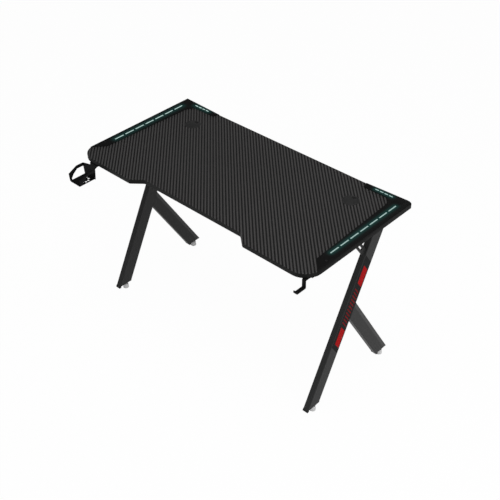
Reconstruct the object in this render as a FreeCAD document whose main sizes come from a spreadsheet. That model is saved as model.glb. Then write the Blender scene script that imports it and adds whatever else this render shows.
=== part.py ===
import FreeCAD, Part
import os
import re
import Sketcher

# Gaming desk: a carbon-look top with lit corner trims on two leaning steel leg frames.
# Millimetres. +X is the sitter's right, +Y the rear, +Z up. The origin is on the floor, under the
# middle of the whole desk, cup holder included.
# The right-hand pieces are drawn, and each left-hand one is the mirror image of its twin.

Vector = FreeCAD.Vector
doc = FreeCAD.newDocument("gaming_desk")

# Driving dimensions, each with a word of its own.
SIZES = {
    # Top board
    "desk_width": 1200, "desk_depth": 600, "desk_height": 750,
    "board_thick": 20, "corner_round": 70, "edge_round": 1.5,
    "recess_mouth": 600, "recess_floor": 508, "recess_deep": 39, "recess_round": 14,
    # Corner trims: a plate on the board and a skirt down its side and rear edges
    "trim_rise": 3, "trim_seat": 1, "skirt_thick": 12, "bevel_wide": 4, "bevel_high": 2.5,
    "tip_setback": 49, "trim_nose": 55, "trim_front_wide": 48, "trim_rear_wide": 66,
    "inner_cut_wide": 19, "inner_cut_deep": 36, "corner_cut_wide": 27, "corner_cut_deep": 9.5,
    "arm_wide": 40, "arm_reach": 206, "arm_slant": 8, "arm_taper": 9.5,
    "boss_round": 7, "boss_high": 12, "boss_inset": 18.5, "arm_boss_margin": 6, "boss_skin": 1,
    # Lit dashes, their diffuser and the light tape in a groove of the board
    "dash_inset": 32, "dash_wide": 5, "side_dash_setback": 158,
    "side_dash_rear_setback": 63.4, "side_dash_gap": 10.6, "side_dash_count": 7,
    "rear_dash_inset": 24, "rear_dash_start": 75,
    "rear_dash_long": 15.9, "rear_dash_gap": 5.3, "rear_dash_count": 4,
    "dash_proud": 0.4, "groove_wide": 15, "groove_deep": 8, "groove_end": 7,
    "diffuser_thick": 3.5, "tape_wide": 10, "tape_thick": 0.8, "chip_long": 5, "chip_high": 1.6,
    # Leg frames of rectangular steel tube
    "leg_inset": 45.5, "tube_deep": 60, "tube_wide": 25, "tube_wall": 1.5, "tube_round": 3,
    "front_foot_setback": 103, "leg_head_rear_setback": 151, "rear_foot_rear_setback": 67, "strut_join_height": 384,
    "rail_wide": 40, "rail_high": 25, "rail_setback": 60, "rail_rear_setback": 60,
    "brace_thick": 6, "brace_wide": 27, "brace_drop": 93, "brace_reach": 67,
    "brace_slot_wide": 8, "brace_slot_long": 42,
    # Crossbars under the board and what fastens them
    "bar_deep": 40, "front_bar_setback": 140, "rear_bar_rear_setback": 210, "end_plate_thick": 4, "end_plate_long": 76,
    "bolt_round": 6, "bolt_spacing": 58, "bolt_head_round": 11, "bolt_head_high": 3.5,
    "nut_round": 11, "nut_high": 5, "bolt_tail": 2,
    "screw_round": 4.4, "screw_head_round": 9, "screw_head_high": 3, "screw_bite": 13, "screw_margin": 22,
    "small_screw_round": 3.5, "small_head_round": 7, "small_head_high": 2.2, "small_screw_bite": 11,
    # Levelling feet and the plugs in the tube ends
    "pad_round": 26, "pad_neck_round": 23, "pad_high": 22, "pad_edge": 1.5, "foot_room": 8,
    "stem_round": 10, "stem_long": 30, "plug_flange": 2, "plug_high": 18,
    "front_foot_shift": 8, "rear_foot_shift": 6, "toe_drop": 7, "toe_thick": 10,
    # Cable grommets
    "grommet_inset": 180, "grommet_rear_setback": 142, "grommet_hole": 58, "grommet_flange_round": 66,
    "flange_high": 1.6, "flange_proud": 0.4, "liner_wall": 2, "liner_long": 19, "ledge_wide": 2.5, "ledge_thick": 2,
    "lid_thick": 3, "lid_gap": 0.3, "notch_wide": 16, "notch_deep": 11,
    # Cup holder of folded sheet under the left front corner
    "cup_inset": 49, "cup_reach": 78, "cup_sheet": 2.5, "cup_bend": 8, "cup_floor_wide": 66, "cup_mouth_wide": 78,
    "cup_drop": 75, "cup_wall_high": 52, "cup_front_high": 34, "cup_rear_high": 51, "cup_band": 13, "cup_post": 10,
    "cup_sill": 3, "arch_front": 35, "arch_rear": 15, "window_cut": 11,
    "neck_wide": 48, "neck_shift": 37, "neck_drop": 12, "cup_flange_deep": 50, "drain_round": 10, "drain_ring": 37,
    "drain_count": 5, "drain_sweep": 169, "drain_start": 57, "drain_shift": 1.5, "drain_back": 6,
    # Headset hook of bent strip under the right front corner
    "hook_inset": 24, "hook_wide": 16, "hook_thick": 3, "hook_setback": 9, "hook_drop": 36,
    "hook_reach": 44, "hook_tip": 11, "hook_flange_long": 48, "hook_bend": 4,
    # Light controller under the board
    "control_inset": 200, "control_setback": 58, "case_wide": 90, "case_deep": 50, "case_high": 22,
    "case_wall": 2, "lid_plate_thick": 2, "ear_long": 12, "circuit_thick": 1.6, "circuit_height": 5,
    "button_round": 12, "button_proud": 2.5, "button_rim": 2, "button_long": 9, "button_gap": 0.2, "button_margin": 1,
    "inlet_wide": 13, "inlet_high": 9, "inlet_long": 14, "inlet_hole_wide": 9, "inlet_hole_high": 5,
    "inlet_hole_deep": 9, "inlet_shift": 22,
    # Working clearances
    "fit_gap": 0.15, "stem_gap": 0.08,
}

# Places worked out from the sizes.
PLACES = {
    "half_width": "desk_width / 2",
    "front_edge": "(cup_reach - desk_depth) / 2",
    "rear_edge": "front_edge + desk_depth",
    "board_rear": "rear_edge - skirt_thick",
    "board_under": "desk_height - board_thick",
    "trim_top": "desk_height + trim_rise",
    "seat_floor": "desk_height - trim_seat",
    "skirt_inside": "half_width - skirt_thick",
    "trim_tip": "front_edge + tip_setback",
    "corner_end": "front_edge + corner_round",
    "skirt_front": "trim_tip + skirt_thick * trim_nose / trim_front_wide",
    "nose_long": "sqrt(trim_front_wide * trim_front_wide + trim_nose * trim_nose)",
    "nose_lead": "corner_end - trim_tip",
    "nose_slide": "(corner_round * trim_front_wide + nose_lead * trim_nose) / nose_long",
    "nose_step": "nose_slide - sqrt(nose_slide * nose_slide - nose_lead * nose_lead)",
    "nose_side": "half_width - nose_step * trim_front_wide / nose_long",
    "nose_front": "trim_tip + nose_step * trim_nose / nose_long",
    "dash_line": "half_width - dash_inset",
    "side_dash_front": "front_edge + side_dash_setback",
    "side_dash_rear": "rear_edge - side_dash_rear_setback",
    "side_dash_pitch": "(side_dash_rear - side_dash_front + side_dash_gap) / side_dash_count",
    "side_dash_long": "side_dash_pitch - side_dash_gap",
    "rear_dash_line": "rear_edge - rear_dash_inset",
    "rear_dash_outer": "half_width - rear_dash_start",
    "rear_dash_pitch": "rear_dash_long + rear_dash_gap",
    "rear_dash_inner": "rear_dash_outer - rear_dash_pitch * rear_dash_count + rear_dash_gap",
    "arm_end": "half_width - arm_reach",
    "side_boss_line": "half_width - boss_inset",
    "front_boss": "side_dash_front + side_dash_pitch - side_dash_gap / 2",
    "rear_boss": "side_dash_rear - side_dash_pitch + side_dash_gap / 2",
    "arm_boss": "arm_end + arm_slant + arm_boss_margin",
    "trim_screw_long": "board_thick - trim_seat - 2 * boss_skin",
    "groove_floor": "desk_height - groove_deep",
    "leg_line": "half_width - leg_inset",
    "rail_under": "board_under - rail_high",
    "rail_front": "front_edge + rail_setback",
    "rail_rear": "rear_edge - rail_rear_setback",
    "tube_cut": "pad_high + foot_room + plug_flange",
    "front_foot": "front_edge + front_foot_setback",
    "leg_head": "rear_edge - leg_head_rear_setback",
    "rear_foot": "rear_edge - rear_foot_rear_setback",
    "leg_lean": "(leg_head - front_foot) / (rail_under - tube_cut)",
    "leg_span": "tube_deep * sqrt(1 + leg_lean * leg_lean)",
    "leg_wall_span": "tube_wall * sqrt(1 + leg_lean * leg_lean)",
    "strut_head": "front_foot + leg_lean * (strut_join_height - tube_cut) + leg_span / 2",
    "strut_lean": "(strut_head - rear_foot) / (strut_join_height - tube_cut)",
    "strut_span": "tube_deep * sqrt(1 + strut_lean * strut_lean)",
    "strut_wall_span": "tube_wall * sqrt(1 + strut_lean * strut_lean)",
    "brace_low": "rail_under - brace_drop",
    "brace_heel": "front_foot + leg_lean * (brace_low - tube_cut) - leg_span / 2",
    "brace_long": "sqrt(brace_reach * brace_reach + brace_drop * brace_drop)",
    "brace_rise": "brace_wide / (leg_lean * brace_drop / brace_long + brace_reach / brace_long)",
    "brace_run": "brace_wide * brace_long / brace_drop",
    "front_bar": "front_edge + front_bar_setback",
    "rear_bar": "rear_edge - rear_bar_rear_setback",
    "rail_inside": "leg_line - rail_wide / 2",
    "rail_outside": "leg_line + rail_wide / 2",
    "bolt_height": "board_under - rail_high / 2",
    "grommet_line": "half_width - grommet_inset",
    "grommet_row": "rear_edge - grommet_rear_setback",
    "liner_inside": "grommet_hole / 2 - fit_gap - liner_wall",
    "flange_top": "desk_height + flange_proud",
    "flange_under": "flange_top - flange_high",
    "ledge_top": "flange_top - lid_thick",
    "cup_line": "cup_inset - half_width",
    "cup_under": "board_under - cup_drop",
    "cup_lean": "(cup_mouth_wide - cup_floor_wide) / 2 / cup_wall_high",
    "cup_front": "front_edge - cup_reach",
    "neck_line": "cup_line + neck_shift",
    "hook_line": "half_width - hook_inset",
    "hook_back": "front_edge + hook_setback",
    "hook_low": "board_under - hook_drop",
    "control_line": "half_width - control_inset",
    "control_front": "front_edge + control_setback",
    "control_rear": "control_front + case_deep",
    "case_top": "board_under - lid_plate_thick",
    "case_under": "case_top - case_high",
    "circuit_under": "case_under + case_wall + circuit_height",
    "button_height": "case_under + case_high / 2",
}

sizes = doc.addObject("Spreadsheet::Sheet", "Sizes")
places = doc.addObject("Spreadsheet::Sheet", "Places")
SHEET_OF = {**dict.fromkeys(SIZES, "Sizes"), **dict.fromkeys(PLACES, "Places")}


def bind(text):
    """Point every word of an expression at the sheet that holds it."""
    return re.sub(r"[a-z]+(?:_[a-z]+)+", lambda word: f"{SHEET_OF[word[0]]}.{word[0]}", text)


def fill(sheet, table, cell_text):
    """Write one row per word: the word, then its cell under that alias."""
    for row, (word, value) in enumerate(table.items(), 1):
        sheet.set(f"A{row}", word)
        sheet.set(f"B{row}", cell_text(value))
        sheet.setAlias(f"B{row}", word)


fill(sizes, SIZES, str)
doc.recompute()
fill(places, PLACES, lambda text: "=" + bind(text))
doc.recompute()


def measure(text):
    """The present value of an expression, for first drawings and for counting."""
    return float(sizes.evalExpression(bind(text)))


# Drawing helpers: every corner, centre and diameter of a sketch is held by expressions.

def new_body(name):
    """An empty body whose label names its file."""
    body = doc.addObject("PartDesign::Body", name)
    body.Label = name
    return body


def new_sketch(body, role, offset):
    """A sketch on one of the body's own planes, moved along that plane's normal."""
    sketch = body.newObject("Sketcher::SketchObject", body.Name + "_sketch")
    plane = next(item for item in body.Origin.OriginFeatures if item.Role == role)
    sketch.AttachmentSupport = [(plane, "")]
    sketch.MapMode = "FlatFace"
    sketch.setExpression("AttachmentOffset.Base.z", bind(offset))
    return sketch


def hold(sketch, kind, geometry, point, text):
    """Hold one coordinate of a sketch point, counted from the sketch's origin."""
    index = sketch.addConstraint(Sketcher.Constraint(kind, -1, 1, geometry, point, measure(text)))
    sketch.setExpression(f"Constraints[{index}]", bind(text))


def outline(body, role, loops, offset="0"):
    """A sketch of closed straight-sided loops, each a list of corner expressions."""
    sketch = new_sketch(body, role, offset)
    for corners in loops:
        first = sketch.GeometryCount
        spots = [Vector(measure(x), measure(y), 0) for x, y in corners]
        for start, end in zip(spots, spots[1:] + spots[:1]):
            sketch.addGeometry(Part.LineSegment(start, end))
        for index in range(len(corners)):
            after = first + (index + 1) % len(corners)
            sketch.addConstraint(Sketcher.Constraint("Coincident", first + index, 2, after, 1))
        for index, (x, y) in enumerate(corners):
            hold(sketch, "DistanceX", first + index, 1, x)
            hold(sketch, "DistanceY", first + index, 1, y)
    return sketch


def circles(body, role, rounds, offset="0"):
    """A sketch of circles, each a centre and a diameter."""
    sketch = new_sketch(body, role, offset)
    for x, y, across in rounds:
        centre = Vector(measure(x), measure(y), 0)
        index = sketch.addGeometry(Part.Circle(centre, Vector(0, 0, 1), measure(across) / 2))
        hold(sketch, "DistanceX", index, 3, x)
        hold(sketch, "DistanceY", index, 3, y)
        width = sketch.addConstraint(Sketcher.Constraint("Diameter", index, measure(across)))
        sketch.setExpression(f"Constraints[{width}]", bind(across))
    return sketch


def rectangle(low_x, low_y, high_x, high_y):
    """The four corners of an upright rectangle."""
    return [(low_x, low_y), (high_x, low_y), (high_x, high_y), (low_x, high_y)]


def pad(body, sketch, length, symmetric=False, reverse=False):
    """Raise a sketch into a solid along its normal, or about it."""
    feature = body.newObject("PartDesign::Pad", body.Name + "_pad")
    feature.Profile = sketch
    feature.setExpression("Length", bind(length))
    feature.SideType = "Symmetric" if symmetric else "One side"
    feature.Reversed = reverse
    doc.recompute()
    return feature


def pocket(body, sketch, depth, symmetric=False, reverse=False):
    """Cut a sketch into the body, against its normal unless reversed."""
    before = body.Shape.Volume
    feature = body.newObject("PartDesign::Pocket", body.Name + "_pocket")
    feature.Profile = sketch
    feature.setExpression("Length", bind(depth))
    feature.SideType = "Symmetric" if symmetric else "One side"
    feature.Reversed = reverse
    doc.recompute()
    if feature.Shape.isNull() or feature.Shape.Volume > before - 1e-6:
        raise RuntimeError(f"{body.Label}: a pocket cuts nothing")
    return feature


def row_of(body, feature, role, length, count, reverse=False):
    """Repeat a feature along one of the body's own axes."""
    pattern = body.newObject("PartDesign::LinearPattern", body.Name + "_row")
    pattern.Originals = [feature]
    axis = next(item for item in body.Origin.OriginFeatures if item.Role == role)
    pattern.Direction = (axis, [""])
    pattern.Reversed = reverse
    pattern.setExpression("Length", bind(length))
    pattern.setExpression("Occurrences", bind(count))
    body.Tip = pattern
    doc.recompute()
    return pattern


def turned(name, corners, x, y):
    """A solid turned about an upright axis at (x, y) from a half profile of (radius, height) corners."""
    body = new_body(name)
    sketch = outline(body, "XZ_Plane", [corners])
    feature = body.newObject("PartDesign::Revolution", name + "_turn")
    feature.Profile = sketch
    feature.ReferenceAxis = (sketch, ["V_Axis"])
    feature.Angle = 360
    body.setExpression("Placement.Base.x", bind(x))
    body.setExpression("Placement.Base.y", bind(y))
    doc.recompute()
    return body


def edges_where(feature, test, curved=False):
    """The names of a feature's edges, straight ones unless told, that pass a test on their two ends."""
    names = []
    for index, edge in enumerate(feature.Shape.Edges, 1):
        if len(edge.Vertexes) == 2 and (curved or edge.Curve.TypeId == "Part::GeomLine"):
            if test(edge.Vertexes[0].Point, edge.Vertexes[1].Point):
                names.append(f"Edge{index}")
    return names


def fillet(body, names, radius):
    """Round the named edges of the body's last feature."""
    feature = body.newObject("PartDesign::Fillet", body.Name + "_fillet")
    feature.Base = (feature.BaseFeature, names)
    feature.setExpression("Radius", bind(radius))
    doc.recompute()
    return feature


def upright_at(spots):
    """A test for upright edges that stand at one of the given (x, y) expressions."""
    points = [(measure(x), measure(y)) for x, y in spots]

    def test(start, end):
        stands = abs(start.x - end.x) < 1e-6 and abs(start.y - end.y) < 1e-6
        return stands and any(abs(start.x - x) < 1e-3 and abs(start.y - y) < 1e-3 for x, y in points)
    return test


def mirrored(twin, name=None):
    """The left-hand piece: its right-hand twin seen in the plane X = 0."""
    name = name or twin.Label.replace("right_", "left_")
    piece = doc.addObject("Part::Mirroring", name)
    piece.Label = name
    piece.Source = twin
    piece.Normal = Vector(1, 0, 0)
    return piece


def both_sides(spots):
    """The given (x, y, ...) expressions and their mirror images."""
    return spots + [(f"-({spot[0]})", *spot[1:]) for spot in spots]


def fastener(name, head_round, head_high, shank_round, shank_long):
    """One screw: a domed head below the seat at Z = 0, its shank upwards."""
    return turned(name, [
        ("0", f"-({head_high})"), (f"{head_round} / 3", f"-({head_high})"),
        (f"{head_round} / 2", f"-({head_high}) / 3"), (f"{head_round} / 2", "0"),
        (f"{shank_round} / 2", "0"), (f"{shank_round} / 2", f"{shank_long} - {shank_round} / 2"),
        ("0", f"{shank_long}")], "0", "0")


def group(name, single, spots, axis=(0, 0, 1)):
    """Identical fasteners in one node: copies of one, each seated at its own spot along an axis."""
    copies = []
    for x, y, z, way in spots:
        copy = doc.addObject("App::Link", name + "_copy")
        copy.LinkedObject = single
        copy.Placement = FreeCAD.Placement(Vector(), FreeCAD.Rotation(Vector(0, 0, 1), Vector(*axis) * way))
        for letter, text in zip("xyz", (x, y, z)):
            copy.setExpression(f"Placement.Base.{letter}", bind(text))
        copies.append(copy)
    piece = doc.addObject("Part::Compound", name)
    piece.Label = name
    piece.Links = copies
    doc.recompute()
    return piece


nodes = []

# Top board: rounded front corners, a shallow bay for the sitter, edges set back behind the trims

trim_spots = [("side_boss_line", "front_boss"), ("side_boss_line", "rear_boss"), ("arm_boss", "rear_dash_line")]
rail_screw_rows = ["rail_front + screw_margin", "front_bar", "rear_bar", "rail_rear - screw_margin"]
cup_screw_spots = [(f"neck_line {side} neck_wide / 4", "front_edge + cup_flange_deep / 2") for side in "-+"]
hook_screw_spots = [("hook_line", f"hook_back + hook_flange_long * {share}") for share in (0.5, 0.8)]
ear_spots = [(f"control_line {side} (case_wide + ear_long) / 2", "control_front + case_deep / 2") for side in "-+"]

trim_plan = [
    ("nose_side", "nose_front"), ("half_width", "corner_end"), ("half_width", "rear_edge"),
    ("arm_end", "rear_edge - arm_taper"),
    ("arm_end + arm_slant", "rear_edge - arm_wide"),
    ("half_width - trim_rear_wide - inner_cut_wide", "rear_edge - arm_wide"),
    ("half_width - trim_rear_wide", "rear_edge - arm_wide - inner_cut_deep"),
    ("half_width - trim_front_wide", "trim_tip + trim_nose")]
left_trim_plan = [(f"-({x})", y) for x, y in trim_plan]
board = new_body("desktop_board")
half_outline = [
    ("recess_floor / 2", "front_edge + recess_deep"), ("recess_mouth / 2", "front_edge"),
    ("half_width", "front_edge"), ("half_width", "board_rear")]
board_outline = half_outline + [(f"-({x})", y) for x, y in reversed(half_outline)]
board_slab = pad(board, outline(board, "XY_Plane", [board_outline], "board_under"), "board_thick")
front_corners = upright_at(both_sides([("half_width", "front_edge")]))
bay_corners = upright_at(both_sides(half_outline[:2]))
fillet(board, edges_where(board_slab, front_corners), "corner_round")
fillet(board, edges_where(board.Tip, bay_corners), "recess_round")
skirt_room = [
    ("half_width + skirt_thick", "trim_tip - skirt_thick * trim_nose / trim_front_wide"),
    ("half_width + skirt_thick", "rear_edge"), ("skirt_inside", "rear_edge"), ("skirt_inside", "skirt_front")]
left_skirt_room = [(f"-({x})", y) for x, y in skirt_room]
pocket(board, outline(board, "XY_Plane", [skirt_room, left_skirt_room], "desk_height"), "board_thick")


def on_front_rim(start, end):
    """The board's upper and lower edges ahead of the trims."""
    return abs(start.z - end.z) < 1e-6 and max(start.y, end.y) < measure("nose_front") + 1e-3


fillet(board, edges_where(board.Tip, on_front_rim, curved=True), "edge_round")
pocket(board, outline(board, "XY_Plane", [trim_plan, left_trim_plan], "desk_height"), "trim_seat")
grommet_holes = both_sides([("grommet_line", "grommet_row", "grommet_hole")])
pocket(board, circles(board, "XY_Plane", grommet_holes, "desk_height"), "board_thick")
flange_seats = both_sides([("grommet_line", "grommet_row", "grommet_flange_round + 2 * fit_gap")])
pocket(board, circles(board, "XY_Plane", flange_seats, "desk_height"), "flange_high - flange_proud")
groove = [
    ("dash_line - groove_wide / 2", "side_dash_front - groove_end"),
    ("dash_line + groove_wide / 2", "side_dash_front - groove_end"),
    ("dash_line + groove_wide / 2", "rear_dash_line + groove_wide / 2"),
    ("rear_dash_inner - groove_end", "rear_dash_line + groove_wide / 2"),
    ("rear_dash_inner - groove_end", "rear_dash_line - groove_wide / 2"),
    ("dash_line - groove_wide / 2", "rear_dash_line - groove_wide / 2")]
left_groove = [(f"-({x})", y) for x, y in groove]
pocket(board, outline(board, "XY_Plane", [groove, left_groove], "desk_height"), "groove_deep")
boss_holes = [(x, y, "boss_round + 2 * fit_gap") for x, y in trim_spots]
pocket(board, circles(board, "XY_Plane", both_sides(boss_holes), "seat_floor"), "boss_high + fit_gap")
screw_holes = [(x, y, "small_screw_round + 2 * fit_gap") for x, y in trim_spots]
pocket(board, circles(board, "XY_Plane", both_sides(screw_holes), "seat_floor"), "board_thick")
rail_holes = [("leg_line", y, "screw_round + 2 * fit_gap") for y in rail_screw_rows]
pocket(board, circles(board, "XY_Plane", both_sides(rail_holes), "board_under"), "screw_bite + fit_gap",
       reverse=True)
small_spots = cup_screw_spots + hook_screw_spots + ear_spots
small_holes = [(x, y, "small_screw_round + 2 * fit_gap") for x, y in small_spots]
pocket(board, circles(board, "XY_Plane", small_holes, "board_under"), "small_screw_bite + fit_gap",
       reverse=True)
nodes.append(board)

# Corner trims: a plate over the board's corner with a bevelled skirt outside it, and windows for the light

trim = new_body("square_led_trim")
pad(trim, outline(trim, "XY_Plane", [trim_plan], "board_under"), "board_thick + trim_rise")


def on_outer_rim(start, end):
    """The trim's upper edges along the side and the rear."""
    line_x, line_y = measure("half_width"), measure("board_rear")
    high = min(start.z, end.z) > measure("trim_top") - 1e-6
    return high and (min(start.x, end.x) > line_x - 1e-6 or min(start.y, end.y) > line_y)


bevel = trim.newObject("PartDesign::Chamfer", "square_led_trim_bevel")
bevel.Base = (bevel.BaseFeature, edges_where(bevel.BaseFeature, on_outer_rim))
bevel.ChamferType = "Two distances"
bevel.setExpression("Size", bind("bevel_high"))
bevel.setExpression("Size2", bind("bevel_wide"))
doc.recompute()
board_room = [
    ("arm_end - arm_wide", "front_edge"), ("half_width", "front_edge"), ("half_width", "trim_tip"),
    ("skirt_inside", "skirt_front"), ("skirt_inside", "board_rear"), ("arm_end - arm_wide", "board_rear")]
pocket(trim, outline(trim, "XY_Plane", [board_room], "seat_floor"), "board_thick")
side_dash = rectangle("dash_line - dash_wide / 2", "side_dash_front",
                      "dash_line + dash_wide / 2", "side_dash_front + side_dash_long")
rear_dash = rectangle("rear_dash_inner", "rear_dash_line - dash_wide / 2",
                      "rear_dash_inner + rear_dash_long", "rear_dash_line + dash_wide / 2")
side_window = pocket(trim, outline(trim, "XY_Plane", [side_dash], "trim_top"), "trim_rise + trim_seat")
row_of(trim, side_window, "Y_Axis", "side_dash_pitch * (side_dash_count - 1)", "side_dash_count")
rear_window = pocket(trim, outline(trim, "XY_Plane", [rear_dash], "trim_top"), "trim_rise + trim_seat")
row_of(trim, rear_window, "X_Axis", "rear_dash_pitch * (rear_dash_count - 1)", "rear_dash_count")
bosses = [(x, y, "boss_round") for x, y in trim_spots]
pad(trim, circles(trim, "XY_Plane", bosses, "seat_floor"), "boss_high", reverse=True)
pocket(trim, circles(trim, "XY_Plane", screw_holes, "seat_floor - boss_high"), "boss_high - boss_skin", reverse=True)
left_trim = mirrored(trim, "left_led_trim")

# The right trim starts as the same moulding and has its rear corner cut off

right_trim = new_body("right_led_trim")
right_trim.BaseFeature = trim
doc.recompute()
corner = [
    ("half_width - corner_cut_wide", "rear_edge"), ("half_width", "rear_edge - corner_cut_deep"),
    ("half_width", "rear_edge")]
pocket(right_trim, outline(right_trim, "XY_Plane", [corner], "trim_top"), "trim_rise + board_thick")
nodes += [right_trim, left_trim]

# Diffusers: a milky strip in the groove, with a raised window for each dash

diffuser = new_body("right_led_diffuser")
groove_inside = [
    ("dash_line - groove_wide / 2 + fit_gap", "side_dash_front - groove_end + fit_gap"),
    ("dash_line + groove_wide / 2 - fit_gap", "side_dash_front - groove_end + fit_gap"),
    ("dash_line + groove_wide / 2 - fit_gap", "rear_dash_line + groove_wide / 2 - fit_gap"),
    ("rear_dash_inner - groove_end + fit_gap", "rear_dash_line + groove_wide / 2 - fit_gap"),
    ("rear_dash_inner - groove_end + fit_gap", "rear_dash_line - groove_wide / 2 + fit_gap"),
    ("dash_line - groove_wide / 2 + fit_gap", "rear_dash_line - groove_wide / 2 + fit_gap")]
pad(diffuser, outline(diffuser, "XY_Plane", [groove_inside], "seat_floor"), "diffuser_thick", reverse=True)


def inset(corners, gap):
    """A rectangle's corners drawn in by a clearance."""
    (low_x, low_y), _, (high_x, high_y), _ = corners
    return rectangle(f"{low_x} + {gap}", f"{low_y} + {gap}", f"{high_x} - {gap}", f"{high_y} - {gap}")


side_light = outline(diffuser, "XY_Plane", [inset(side_dash, "fit_gap")], "seat_floor")
side_light = pad(diffuser, side_light, "trim_seat + trim_rise + dash_proud")
row_of(diffuser, side_light, "Y_Axis", "side_dash_pitch * (side_dash_count - 1)", "side_dash_count")
rear_light = outline(diffuser, "XY_Plane", [inset(rear_dash, "fit_gap")], "seat_floor")
rear_light = pad(diffuser, rear_light, "trim_seat + trim_rise + dash_proud")
row_of(diffuser, rear_light, "X_Axis", "rear_dash_pitch * (rear_dash_count - 1)", "rear_dash_count")
nodes += [diffuser, mirrored(diffuser)]

# Light tapes: a thin strip on the groove's floor with one light chip under each dash

tape = new_body("right_led_tape")
tape_plan = [
    ("dash_line - tape_wide / 2", "side_dash_front"), ("dash_line + tape_wide / 2", "side_dash_front"),
    ("dash_line + tape_wide / 2", "rear_dash_line + tape_wide / 2"),
    ("rear_dash_inner", "rear_dash_line + tape_wide / 2"),
    ("rear_dash_inner", "rear_dash_line - tape_wide / 2"),
    ("dash_line - tape_wide / 2", "rear_dash_line - tape_wide / 2")]
pad(tape, outline(tape, "XY_Plane", [tape_plan], "groove_floor"), "tape_thick")
side_chip = rectangle(
    "dash_line - chip_long / 2", "side_dash_front + (side_dash_long - chip_long) / 2",
    "dash_line + chip_long / 2", "side_dash_front + (side_dash_long + chip_long) / 2")
side_chip = pad(tape, outline(tape, "XY_Plane", [side_chip], "groove_floor + tape_thick"), "chip_high")
row_of(tape, side_chip, "Y_Axis", "side_dash_pitch * (side_dash_count - 1)", "side_dash_count")
rear_chip = rectangle(
    "rear_dash_inner + (rear_dash_long - chip_long) / 2", "rear_dash_line - chip_long / 2",
    "rear_dash_inner + (rear_dash_long + chip_long) / 2", "rear_dash_line + chip_long / 2")
rear_chip = pad(tape, outline(tape, "XY_Plane", [rear_chip], "groove_floor + tape_thick"), "chip_high")
row_of(tape, rear_chip, "X_Axis", "rear_dash_pitch * (rear_dash_count - 1)", "rear_dash_count")
nodes += [tape, mirrored(tape)]

# Leg frames: a leaning front leg, a strut back to the floor, a rail under the board and a slotted knee brace


def tube(name, corners, inside):
    """A rectangular tube in the leg's plane, from its side view and the side view of its bore."""
    body = new_body(name)
    solid = pad(body, outline(body, "YZ_Plane", [corners], "leg_line"), "tube_wide", symmetric=True)
    low = min(measure(y) for _, y in corners)

    def along(start, end):
        return abs(start.x - end.x) < 1e-6 and min(start.z, end.z) < low + 1e-3 and abs(start.z - end.z) > 100
    fillet(body, edges_where(solid, along), "tube_round")
    pocket(body, outline(body, "YZ_Plane", [inside], "leg_line"), "tube_wide - 2 * tube_wall", symmetric=True)
    return body


def leg_side(height, share):
    """A point of the front leg's side view: share -1 is its front face, +1 its rear face."""
    return f"front_foot + leg_lean * ({height} - tube_cut) + {share} * leg_span / 2"


front_leg = tube(
    "right_front_leg",
    [(leg_side("tube_cut", -1), "tube_cut"), (leg_side("tube_cut", 1), "tube_cut"),
     (leg_side("rail_under", 1), "rail_under"), (leg_side("rail_under", -1), "rail_under")],
    [(leg_side("tube_cut", -1) + " + leg_wall_span", "tube_cut"),
     (leg_side("tube_cut", 1) + " - leg_wall_span", "tube_cut"),
     (leg_side("rail_under", 1) + " - leg_wall_span", "rail_under"),
     (leg_side("rail_under", -1) + " + leg_wall_span", "rail_under")])


def strut_meet(share, wall):
    """Where a long edge of the strut's side view meets the front leg's rear face, as (y, z)."""
    shift = f"({share} * strut_span / 2 {wall})"
    height = f"(tube_cut + (rear_foot + {shift} - front_foot - leg_span / 2) / (leg_lean - strut_lean))"
    return leg_side(height, 1), height


strut = tube(
    "right_rear_strut",
    [("rear_foot - strut_span / 2", "tube_cut"), ("rear_foot + strut_span / 2", "tube_cut"),
     strut_meet(1, ""), strut_meet(-1, "")],
    [("rear_foot - strut_span / 2 + strut_wall_span", "tube_cut"),
     ("rear_foot + strut_span / 2 - strut_wall_span", "tube_cut"),
     strut_meet(1, "- strut_wall_span"), strut_meet(-1, "+ strut_wall_span")])

rail = new_body("right_top_rail")
rail_box = rectangle("rail_front", "rail_under", "rail_rear", "board_under")
rail_solid = pad(rail, outline(rail, "YZ_Plane", [rail_box], "leg_line"), "rail_wide", symmetric=True)
fillet(rail, edges_where(rail_solid, lambda start, end: abs(start.y - end.y) > 100), "tube_round / 2")
rail_bore = rectangle("rail_front", "rail_under + tube_wall", "rail_rear", "board_under - tube_wall")
pocket(rail, outline(rail, "YZ_Plane", [rail_bore], "leg_line"), "rail_wide - 2 * tube_wall", symmetric=True)
pocket(rail, circles(rail, "XY_Plane", rail_holes, "board_under"), "rail_high")
bolt_rows = [f"{bar} {side} bolt_spacing / 2" for bar in ("front_bar", "rear_bar") for side in "-+"]
bolt_holes = [(y, "bolt_height", "bolt_round + 2 * fit_gap") for y in bolt_rows]
pocket(rail, circles(rail, "YZ_Plane", bolt_holes, "leg_line"), "rail_wide", symmetric=True)

brace = new_body("right_knee_brace")
brace_plan = [
    ("brace_heel", "brace_low"),
    ("brace_heel + leg_lean * brace_rise", "brace_low + brace_rise"),
    ("brace_heel - brace_reach + brace_run", "rail_under"), ("brace_heel - brace_reach", "rail_under")]
pad(brace, outline(brace, "YZ_Plane", [brace_plan], "leg_line"), "brace_thick", symmetric=True)
middle_y = "(brace_heel + (brace_run - brace_reach + leg_lean * brace_rise) / 4 - brace_reach / 4)"
middle_z = "(rail_under - (2 * brace_drop - brace_rise) / 4)"


def slot_corner(along, across):
    """A corner of the brace's slot, along and across the brace from its middle."""
    long, wide = f"{along} * brace_slot_long / 2", f"{across} * brace_slot_wide / 2"
    y = f"{middle_y} - ({long}) * brace_reach / brace_long + ({wide}) * brace_drop / brace_long"
    z = f"{middle_z} + ({long}) * brace_drop / brace_long + ({wide}) * brace_reach / brace_long"
    return y, z


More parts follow.
